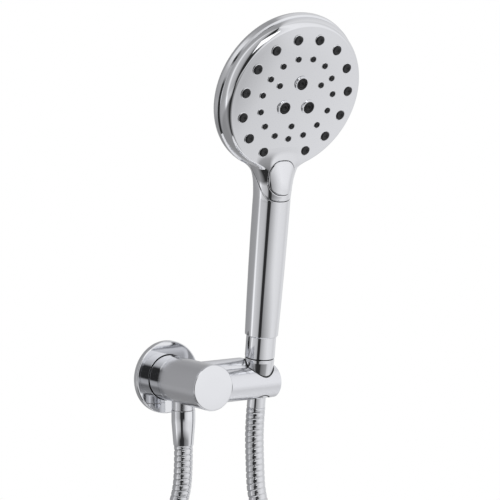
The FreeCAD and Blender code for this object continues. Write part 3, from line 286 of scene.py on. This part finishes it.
def neck_distance(spot):
    """Distance to the handle and its flare, in the handset's own frame in millimetres."""
    x, y, z = spot
    rise = min(max((z - HANDLE_FOOT) / (HANDLE_TOP - HANDLE_FOOT), 0.0), 1.0)
    radius = FOOT_RADIUS + (TOP_RADIUS - FOOT_RADIUS) * rise
    lap = min(max((z - HANDLE_TOP) / LAP_LENGTH, 0.0), 1.0)
    radius += -LAP_UNDER + LAP_RISE * lap * lap * (3 - 2 * lap)
    flare = max((z - FLARE_FOOT) / FLARE_LENGTH, 0.0)
    half_width = radius + FLARE_WIDTH * flare ** FLARE_POWER
    half_depth = radius - FLARE_DEPTH * flare ** FLARE_POWER
    y -= 1.5 * flare ** 1.4
    size = math.hypot(x / half_width, y / half_depth)
    slope = math.hypot(x / half_width ** 2, y / half_depth ** 2) / max(size, 1e-6)
    return max((size - 1) / max(slope, 1e-6), z - NECK_END)


def face_level(out):
    """Height of the domed face and its long rolled edge at a distance from its middle."""
    level = -min(out, ROLL_START) ** 2 / (2 * DOME_RADIUS)
    share = min(max(out - ROLL_START, 0.0) / (COVER_RADIUS - ROLL_START), 1.0)
    return level - ROLL_FALL * (1 - math.sqrt(1 - share * share)) - share * ROLL_LEAN


def head_distance(spot):
    """Distance to the head's lens-shaped body, just inside its real surface."""
    x, y, z = HANDSET_TO_FACE @ (Vector(spot) * MM) / MM
    out = math.hypot(x, y)
    front = z - face_level(out) + INSIDE
    shoulder = min(max((-z - SHOULDER_TOP) / SHOULDER_LENGTH, 0.0), 1.0)
    side = out - (COVER_RADIUS - INSIDE) - SHOULDER_OUT * shoulder
    back = -BACK_DEPTH + INSIDE + out * out / BACK_BULGE - z
    return -soft_min(soft_min(-front, -side, EDGE_BLEND), -back, BACK_BLEND)


def handset_distance(spot):
    """Distance to neck and head together, blended where they meet."""
    return soft_min(neck_distance(spot), head_distance(spot), NECK_BLEND)


def seam_side(spot):
    """Positive in front of the seam between front cover and rear shell."""
    x, y, z = spot
    fall = max(1 - (z - TONGUE_FOOT) / TONGUE_LENGTH, 0.0)
    line = (FACE_FORWARD - (FACE_HEIGHT - z) * math.tan(TILT) - COVER_DEPTH / math.cos(TILT)
            + TONGUE_RISE * fall ** SEAM_POWER)
    return soft_min(z - TONGUE_FOOT, -y - line, SEAM_BLEND)


def button_side(spot):
    """Negative inside the button's rounded outline."""
    x, y, z = spot
    crown = BUTTON_CROWN * (x / BUTTON_HALF) ** 2
    tall = (BUTTON_HIGH - BUTTON_LOW) / 2 - crown
    across = abs(x) - BUTTON_HALF + BUTTON_CORNER
    along = abs(z - (BUTTON_LOW + BUTTON_HIGH) / 2) - tall + BUTTON_CORNER
    outside = math.hypot(max(across, 0.0), max(along, 0.0))
    return outside + min(max(across, along), 0.0) - BUTTON_CORNER


def neck_skin():
    """The neck and the foot of the head as one smooth skin, in the handset's frame."""
    rows, around = 100, 160
    low, high, spine_turn = 126.0, 186.0, 150.0
    reach, halvings = 75.0, 26
    bm = bmesh.new()
    bmesh.ops.create_grid(bm, x_segments=around, y_segments=rows, size=1.0)
    for vertex in bm.verts:
        height = low + (high - low) * (vertex.co.y + 1) / 2
        turn = math.pi * vertex.co.x
        # each ring of the skin is felt for from a spine inside the neck
        spine = 0.9 + 1.8 * max(0.0, (height - spine_turn) / (high - spine_turn))
        way = Vector((math.sin(turn), -math.cos(turn), 0))
        start = Vector((0, spine, height))
        near, far = 0.0, reach
        for _ in range(halvings):
            middle = (near + far) / 2
            if handset_distance(start + way * middle) < 0:
                near = middle
            else:
                far = middle
        vertex.co = start + way * near
    bmesh.ops.remove_doubles(bm, verts=bm.verts, dist=1e-4)
    bmesh.ops.recalc_face_normals(bm, faces=bm.faces)
    bm.normal_update()
    foremost = min(bm.verts, key=lambda vertex: vertex.co.y)
    if foremost.normal.y > 0:
        bmesh.ops.reverse_faces(bm, faces=bm.faces)
    return bm


def part_along(bm, side, level):
    """Cuts the skin along the line where side has a level."""
    value = {vertex: side(vertex.co) - level for vertex in bm.verts}
    fresh = []
    for edge in list(bm.edges):
        first, last = edge.verts
        a, b = value[first], value[last]
        if a * b < 0 and min(abs(a), abs(b)) > 1e-5:
            fresh.append(bmesh.utils.edge_split(edge, first, a / (a - b))[1])
    bmesh.ops.connect_verts(bm, verts=fresh)
    bmesh.ops.dissolve_degenerate(bm, edges=bm.edges, dist=0.02)


def keep_where(bm, wanted):
    """Deletes the faces whose middles aren't wanted."""
    unwanted = [face for face in bm.faces if not wanted(face.calc_center_median())]
    bmesh.ops.delete(bm, geom=unwanted, context="FACES")


def rolled(distance, roll):
    """How far an edge's rounding has sunk at a distance from the edge."""
    if distance >= roll:
        return 0.0
    return roll * (1 - math.sqrt(1 - (1 - max(distance, 0.0) / roll) ** 2))


def finished_skin(bm, name, finish, sink, wall):
    """Lowers the skin by sink, puts it in place and gives it a wall inwards."""
    bm.normal_update()
    moves = [(vertex, vertex.normal * sink(vertex.co)) for vertex in bm.verts]
    for vertex, move in moves:
        vertex.co -= move
    bmesh.ops.transform(bm, matrix=HANDSET @ Matrix.Scale(MM, 4), verts=bm.verts)
    piece = piece_from(bm, name, finish)
    walled(piece, wall)
    return piece


def neck():
    """Front tongue, rear neck, a black painted-shadow strip in the gap between them, and the button
    set in the tongue.
    """
    gap, edge_roll = 0.2, 0.5
    window, cap_edge, cap_roll = 0.34, -0.05, 0.6
    # how deep the black painted-shadow strip sits in the seam, and how proud the button cap stands
    shadow_strip_sunk, cap_proud = 0.35, 0.35
    skin_wall, shadow_strip_wall, cap_wall = 0.8, 0.3, 1.0
    skin = neck_skin()
    for level in (gap, gap + 0.12, gap + 0.3, gap + 0.6):
        part_along(skin, seam_side, level)
        part_along(skin, seam_side, -level)
    for level in (-0.7, -0.35, -0.16, cap_edge, window, 0.46, 0.64, 0.95):
        part_along(skin, button_side, level)
    pieces = [
        ("front_neck_skin", CHROME, "chrome_plastic", skin_wall,
         lambda p: seam_side(p) > gap and not (button_side(p) < window and p.y < 0),
         lambda p: max(rolled(seam_side(p) - gap, edge_roll),
                       rolled(button_side(p) - window, edge_roll) if p.y < 0 else 0.0)),
        ("rear_neck_skin", CHROME, "chrome_plastic", skin_wall,
         lambda p: seam_side(p) < -gap,
         lambda p: rolled(-gap - seam_side(p), edge_roll)),
        # black strip in the rubber finish, sunk into the seam gap: painted shadow in place of the
        # gap's own shade
        ("neck_seam_painted_shadow", RUBBER, "black_rubber", shadow_strip_wall,
         lambda p: abs(seam_side(p)) < gap,
         lambda p: shadow_strip_sunk),
        ("mode_button_cap", CHROME, "chrome_plastic", cap_wall,
         lambda p: button_side(p) < cap_edge and p.y < 0,
         lambda p: rolled(cap_edge - button_side(p), cap_roll) - cap_proud)]
    for name, finish, slot, wall, wanted, sink in pieces:
        bm = skin.copy()
        keep_where(bm, wanted)
        piece = finished_skin(bm, name, finish, sink, wall)
        if name == "mode_button_cap":
            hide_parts("mode_button")
            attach(piece, "button")
        else:
            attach(piece, "handset")
    skin.free()


neck()


# ---------------------------------------------------------------- spray face

def spray_face():
    """Domed face with its long rolled edge down to the seam."""
    dome_step, roll_steps = 3.0, 24
    profile = [(step * dome_step, face_level(step * dome_step))
               for step in range(round(ROLL_START / dome_step))]
    for step in range(roll_steps + 1):
        share = math.sin(step / roll_steps * math.pi / 2)
        out = ROLL_START + (COVER_RADIUS - ROLL_START) * share
        profile.append((out, face_level(out)))
    edge = face_level(COVER_RADIUS)
    # round the edge, in under it, and back to the middle behind the face
    profile += [(58.2, edge - 0.25), (57.9, edge - 0.4), (56.0, edge - 0.4), (56.0, -5.0),
                (54.0, -4.6), (0.0, -4.2)]
    piece = in_place(spun(profile, 192), HEAD, "spray_face", CHROME)
    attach(piece, "handset")
    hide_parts("front_cover")


NOZZLE_RINGS = [
    # pitch radius, nozzle radius, how many, first angle, step
    (45.0, 3.65, 14, -66.0, 24.0), (30.9, 2.2, 15, -90.0, 24.0), (20.95, 2.2, 3, -90.0, 120.0)]
MASSAGE_PITCH, MASSAGE_COUNT = 12.2, 3
MASSAGE_PROFILE = [(0.0, 0.15), (0.9, 0.15), (1.0, 0.4), (1.5, 0.45), (1.7, 1.0), (2.3, 1.1),
                   (2.5, 0.45), (3.3, 0.5), (3.5, 1.15), (4.1, 1.2), (4.45, 0.9), (4.45, -2.0)]


def nozzle_profile(radius):
    """Soft tapered tip with a rounded rim and a shallow dish round its jet."""
    return [(0.0, 0.5), (0.42, 0.5), (0.5, 0.6), (radius * 0.38, 0.62),
            (radius * 0.5, 0.95), (radius * 0.74, 1.0), (radius * 0.86, 0.85),
            (radius * 0.97, 0.3), (radius, -0.9)]


def rim_profile(radius):
    """Bright raised lip round a nozzle's hole in the face."""
    return [(radius + 0.05, -0.4), (radius + 0.1, 0.12), (radius + 0.3, 0.24),
            (radius + 0.6, 0.14), (radius + 0.75, -0.1)]


def spun_on_face(bm, profile, steps, pitch, degrees):
    """Adds a round form to a mesh, on the face at a pitch radius and an angle."""
    before = set(bm.verts)
    spun(profile, steps, bm)
    fresh = [vertex for vertex in bm.verts if vertex not in before]
    angle = math.radians(degrees)
    bmesh.ops.translate(bm, verts=fresh, vec=(pitch * math.cos(angle), pitch * math.sin(angle),
                                              face_level(pitch)))


def nozzles():
    """Black tips through the face, and the bright rim round each."""
    tips, rims = bmesh.new(), bmesh.new()
    for index in range(MASSAGE_COUNT):
        spun_on_face(tips, MASSAGE_PROFILE, 32, MASSAGE_PITCH, 90 + 360 / MASSAGE_COUNT * index)
    for pitch, radius, count, first, step in NOZZLE_RINGS:
        for index in range(count):
            spun_on_face(tips, nozzle_profile(radius), 24, pitch, first + step * index)
            spun_on_face(rims, rim_profile(radius), 28, pitch, first + step * index)
    tip_piece = in_place(tips, HEAD, "nozzle_tips", SILICONE)
    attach(tip_piece, "handset")
    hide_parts("nozzle_mat", "massage_nozzles")
    rim_piece = in_place(rims, HEAD, "nozzle_rims", CHROME)
    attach(rim_piece, "handset")


spray_face()
nozzles()


# ---------------------------------------------------------------- turned brass parts

# Each outline runs from one end to the other as (radius, height) pairs.
NUT_OUTLINE = [
    (7.1, 21.5), (8.3, 21.5), (8.65, 21.6), (8.85, 21.85), (8.9, 22.2), (8.9, 30.3),
    (8.86, 31.0), (7.55, 47.7), (7.4, 48.2), (7.05, 48.48), (6.6, 48.5), (5.7, 48.5)]
FLANGE_OUTLINE = [
    (17.55, 4.75), (17.7, 4.75), (26.3, 4.75), (26.45, 4.75), (26.85, 4.68), (27.15, 4.5),
    (27.33, 4.2), (27.4, 3.8), (27.4, 3.6), (27.4, 0.4), (27.38, 0.3), (27.1, 0.02),
    (26.2, 0.02)]
CAP_OUTLINE = [
    (14.0, 62.0), (16.9, 64.1), (16.92, 65.1), (16.85, 65.45), (16.6, 65.75),
    (16.2, 65.92), (15.6, 65.94), (8.0, 65.95), (0.0, 65.95)]


def turned_parts():
    """Chromed turned parts, each edge broken by a small radius."""
    skin_wall = 0.5
    for node, place, outline in (("outlet_nut", OUTLET, NUT_OUTLINE),
                                 ("wall_flange", WALL, FLANGE_OUTLINE),
                                 ("front_cap", WALL, CAP_OUTLINE)):
        piece = in_place(spun(outline, 128), place, node + "_finished", CHROME)
        walled(piece, skin_wall)
        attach(piece, "bracket")
        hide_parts(node)


turned_parts()


# ---------------------------------------------------------------- hose

HOSE_RADIUS = 7.0
OUTLET_ROUTE = [
    (0.0, -25.5, -48.5), (0.0, -25.5, -66.0), (-0.1, -22.8, -85.3), (-5.7, -19.2, -105.6),
    (-16.7, -15.6, -123.5), (-32.2, -14.0, -137.8), (-43.2, -14.9, -155.7),
    (-48.9, -16.9, -176.0), (-48.9, -16.9, -197.0)]
HANDSET_ROUTE = [
    (48.17, -50.76, -20.34), (48.17, -48.73, -36.32), (48.17, -48.8, -51.0),
    (48.17, -49.6, -66.5), (48.2, -51.0, -86.3), (53.9, -52.8, -106.0), (64.9, -54.4, -124.0),
    (80.4, -55.0, -138.0), (91.4, -54.2, -155.7), (97.1, -52.1, -176.0), (97.1, -52.1, -197.0)]
COIL_RADIUS = 73.0
COIL_MIDDLE = (24.1, -197.0)
COIL_TURNS = 2.5
COIL_START = -17.0
COIL_STEPS = 14
# the coil's control points stand outside its ring, so that the smooth line keeps its radius
COIL_REACH = COIL_RADIUS / math.cos(math.pi / COIL_STEPS) ** 0.67


def coil_points():
    """The coil's turns from the left leg round to the right leg, each beside the last."""
    points = []
    for step in range(1, int(COIL_TURNS * COIL_STEPS)):
        turn = step / COIL_STEPS
        angle = math.pi + turn * 2 * math.pi
        points.append((COIL_MIDDLE[0] + COIL_REACH * math.cos(angle),
                       COIL_START - 2 * HOSE_RADIUS * turn,
                       COIL_MIDDLE[1] + COIL_REACH * math.sin(angle)))
    return points


def smooth_line(points):
    """Points along the smooth curve that the route's points pull."""
    curve = bpy.data.curves.new("hose_line", "CURVE")
    curve.dimensions = "3D"
    curve.resolution_u = 24
    spline = curve.splines.new("NURBS")
    spline.points.add(len(points) - 1)
    for spot, point in zip(spline.points, points):
        spot.co = [value * MM for value in point] + [1.0]
    spline.order_u = 3
    spline.use_endpoint_u = True
    carrier = bpy.data.objects.new("hose_line", curve)
    bpy.context.scene.collection.objects.link(carrier)
    bpy.context.view_layer.update()
    mesh = bpy.data.meshes.new_from_object(carrier)
    line = [vertex.co.copy() for vertex in mesh.vertices]
    bpy.data.objects.remove(carrier)
    bpy.data.meshes.remove(mesh)
    bpy.data.curves.remove(curve)
    return line


def even_steps(line, step):
    """The same line at even distances, with a frame at each point that never twists."""
    spots = [line[0]]
    left = step
    for before, after in zip(line, line[1:]):
        run = (after - before).length
        while left <= run:
            spots.append(before.lerp(after, left / run))
            left += step
        left -= run
    if (line[-1] - spots[-1]).length > step * 0.3:
        spots.append(line[-1])
    frames = []
    side = Vector((0, 1, 0))
    for index, spot in enumerate(spots):
        ahead = spots[min(index + 1, len(spots) - 1)] - spots[max(index - 1, 0)]
        way = ahead.normalized()
        side = (side - way * side.dot(way)).normalized()
        frames.append((spot, side.copy(), way.cross(side)))
    return frames


def wound_hose(name, line):
    """Interlocked steel band wound round the hose: a helical groove between rounded turns."""
    pitch, rings_per_turn, around = 4.5, 7, 26
    groove_depth, groove_share, crown = 0.95, 0.15, 0.06
    frames = even_steps(line, pitch * MM / rings_per_turn)
    rows = len(frames)
    bm = bmesh.new()
    bmesh.ops.create_grid(bm, x_segments=around, y_segments=rows - 1, size=1.0)
    for vertex in bm.verts:
        turn = (vertex.co.x + 1) / 2
        row = round((vertex.co.y + 1) / 2 * (rows - 1))
        spot, side, up = frames[row]
        phase = (row / rings_per_turn - turn) % 1.0
        from_groove = min(phase, 1 - phase) * 2
        sink = (groove_depth * math.exp(-(from_groove / groove_share) ** 2)
                + crown * (1 - from_groove))
        radius = (HOSE_RADIUS - sink) * MM
        angle = turn * 2 * math.pi
        vertex.co = spot + (side * math.cos(angle) + up * math.sin(angle)) * radius
    bmesh.ops.remove_doubles(bm, verts=bm.verts, dist=1e-6)
    ends = [edge for edge in bm.edges if edge.is_boundary]
    bmesh.ops.holes_fill(bm, edges=ends, sides=0)
    bmesh.ops.recalc_face_normals(bm, faces=bm.faces)
    return piece_from(bm, name, HOSE_STEEL)


def hose():
    """The whole metal hose, from the outlet's nut through the tied coil to the handset."""
    line = smooth_line(OUTLET_ROUTE + coil_points() + HANDSET_ROUTE[::-1])
    hose_piece = wound_hose("metal_hose", line)
    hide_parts("hose_outlet_leg", "hose_coil", "hose_handset_leg")
    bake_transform(hose_piece)
    [spot for spot, _, _ in even_steps(line, 0.004)]


hose()


# ---------------------------------------------------------------- studio

FLOOR_RADIUS, FLOOR_DROP = 0.2, 0.004
FLOOR_MIDDLE = (0.03, -0.06)

# The room round the object, in three bands of height. Each pair is a bearing in degrees from the
# room side (-Y), positive to the right, and the brightness there.
ROOM_GREY, BLACK_FLAG = 0.35, 0.03
LEVEL_LIGHT = [
    (-180, ROOM_GREY), (-126, 0.4), (-117, 0.5),                       # grey back wall
    (-113, 0.95), (-108, 0.95),                                        # white strip
    (-103, 0.6), (-80, 0.5), (-66, 0.3),                               # grey left card
    (-61, BLACK_FLAG), (-24, BLACK_FLAG),                              # wide black flag
    (-18, 0.55), (0, 0.85), (20, 1.0), (60, 0.95), (80, 0.75),         # white front card
    (105, 0.85), (135, 0.7), (155, 0.4), (180, ROOM_GREY)]             # pale right wall
MIDDLE_LIGHT = [
    (-180, ROOM_GREY), (-126, 0.45), (-117, 0.6),
    (-113, 1.15), (-108, 1.15),
    (-103, 0.75), (-68, 0.55), (-61, 0.4),
    (-58, BLACK_FLAG), (-40, BLACK_FLAG),                              # narrow black flag
    (-36, 0.4), (0, 0.8), (20, 0.9), (60, 0.85), (80, 0.75),
    (105, 0.85), (135, 0.7), (155, 0.45), (180, ROOM_GREY)]
LOW_LIGHT = [
    (-180, 0.3), (-140, 0.3), (-110, 0.35), (-90, 0.2),
    (-70, BLACK_FLAG), (-30, BLACK_FLAG),
    (-20, 0.2), (24, 0.4),                                             # shaded front floor
    (36, 0.75), (60, 0.85), (90, 0.8), (135, 0.6), (165, 0.35), (180, 0.3)]
MIDDLE_FALL, LOW_FALL = (-0.15, -0.23), (-0.36, -0.46)


def studio_floor():
    """A round pale floor under the object, brightened to a paper white."""
    fibre_size, fibre_depth = 1.5, 0.02
    bm = bmesh.new()
    bmesh.ops.create_circle(bm, cap_ends=True, segments=96, radius=FLOOR_RADIUS)
    bmesh.ops.translate(bm, verts=bm.verts,
                        vec=(*FLOOR_MIDDLE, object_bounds()[0].z - FLOOR_DROP))
    paint, tree, surface, place = material("pale_studio_floor", "f4f4f5", 0.9,
                                            Emission_Color=linear("ffffff"),
                                            Emission_Strength=0.3)
    fibres = add(tree, "ShaderNodeTexNoise", {"Scale": grains(fibre_size), "Detail": 3.0},
                 Vector=place)
    relief = add(tree, "ShaderNodeBump", {"Distance": fibre_depth * MM, "Strength": 1.0},
                 Height=fibres.outputs["Fac"])
    feed(tree, surface, Normal=relief.outputs["Normal"])
    bmesh.ops.recalc_face_normals(bm, faces=bm.faces)
    piece_from(bm, "studio_floor", paint)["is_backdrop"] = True


def studio_light():
    """A pale room whose white cards and black flags shape the chrome, before a white backdrop."""
    world = bpy.data.worlds.new("studio")
    bpy.context.scene.world = world
    world.use_nodes = True
    tree = world.node_tree
    tree.nodes.clear()
    way = add(tree, "ShaderNodeTexCoord").outputs["Generated"]
    parts = add(tree, "ShaderNodeSeparateXYZ", Vector=way)
    flipped = add(tree, "ShaderNodeMath", {"operation": "MULTIPLY", 1: -1.0})
    tree.links.new(parts.outputs["Y"], flipped.inputs[0])
    bearing = add(tree, "ShaderNodeMath", {"operation": "ARCTAN2"})
    tree.links.new(parts.outputs["X"], bearing.inputs[0])
    tree.links.new(flipped.outputs[0], bearing.inputs[1])
    share = add(tree, "ShaderNodeMapRange", {"From Min": -math.pi, "From Max": math.pi},
                Value=bearing.outputs[0])

    def band(stops):
        """The light of one band of height, round all bearings."""
        made = add(tree, "ShaderNodeValToRGB", Fac=share.outputs["Result"])
        ramp = made.color_ramp
        while len(ramp.elements) < len(stops):
            ramp.elements.new(0.5)
        for element, (degrees, level) in zip(ramp.elements, stops):
            element.position = (degrees + 180) / 360
            element.color = (level, level, level * 1.01, 1)
        return made.outputs["Color"]

    light = band(LEVEL_LIGHT)
    for lower, (top, bottom) in ((MIDDLE_LIGHT, MIDDLE_FALL), (LOW_LIGHT, LOW_FALL)):
        fall = add(tree, "ShaderNodeMapRange", {"From Min": top, "From Max": bottom},
                   Value=parts.outputs["Z"])
        mix = add(tree, "ShaderNodeMix", {"data_type": "RGBA"})
        tree.links.new(fall.outputs["Result"], mix.inputs[0])
        tree.links.new(light, mix.inputs[6])
        tree.links.new(band(lower), mix.inputs[7])
        light = mix.outputs[2]
    glow = add(tree, "ShaderNodeBackground", {"Strength": 1.0}, Color=light)
    plain = add(tree, "ShaderNodeBackground", {"Color": (1, 1, 1, 1), "Strength": 1.0})
    seen = add(tree, "ShaderNodeLightPath").outputs["Is Camera Ray"]
    shown = add(tree, "ShaderNodeMixShader", Fac=seen)
    tree.links.new(glow.outputs[0], shown.inputs[1])
    tree.links.new(plain.outputs[0], shown.inputs[2])
    add(tree, "ShaderNodeOutputWorld", Surface=shown.outputs[0])


def key_light():
    """One large soft lamp, high at the left in front of the object."""
    spot = Vector((-1.2, -1.8, 2.4))
    light = bpy.data.lights.new("key_light", "AREA")
    light.size = 1.8
    light.energy = 14
    lamp = bpy.data.objects.new("key_light", light)
    lamp.location = spot
    lamp.rotation_euler = (-spot).to_track_quat("-Z", "Y").to_euler()
    bpy.context.scene.collection.objects.link(lamp)


def camera():
    """A long lens from the left in front of the object, a little above its middle."""
    lens = bpy.data.cameras.new("camera")
    lens.lens = 157.03
    lens.sensor_width = 36
    lens.clip_end = 100
    shot = bpy.data.objects.new("camera", lens)
    shot.location = (-0.8738, -1.3675, 0.2623)
    looking = Vector((0.5683, 0.8164, -0.1023))
    shot.rotation_mode = "QUATERNION"
    shot.rotation_quaternion = looking.to_track_quat("-Z", "Y")
    bpy.context.scene.collection.objects.link(shot)
    bpy.context.scene.camera = shot


studio_floor()
studio_light()
key_light()
camera()
bpy.context.scene.view_settings.view_transform = "Standard"
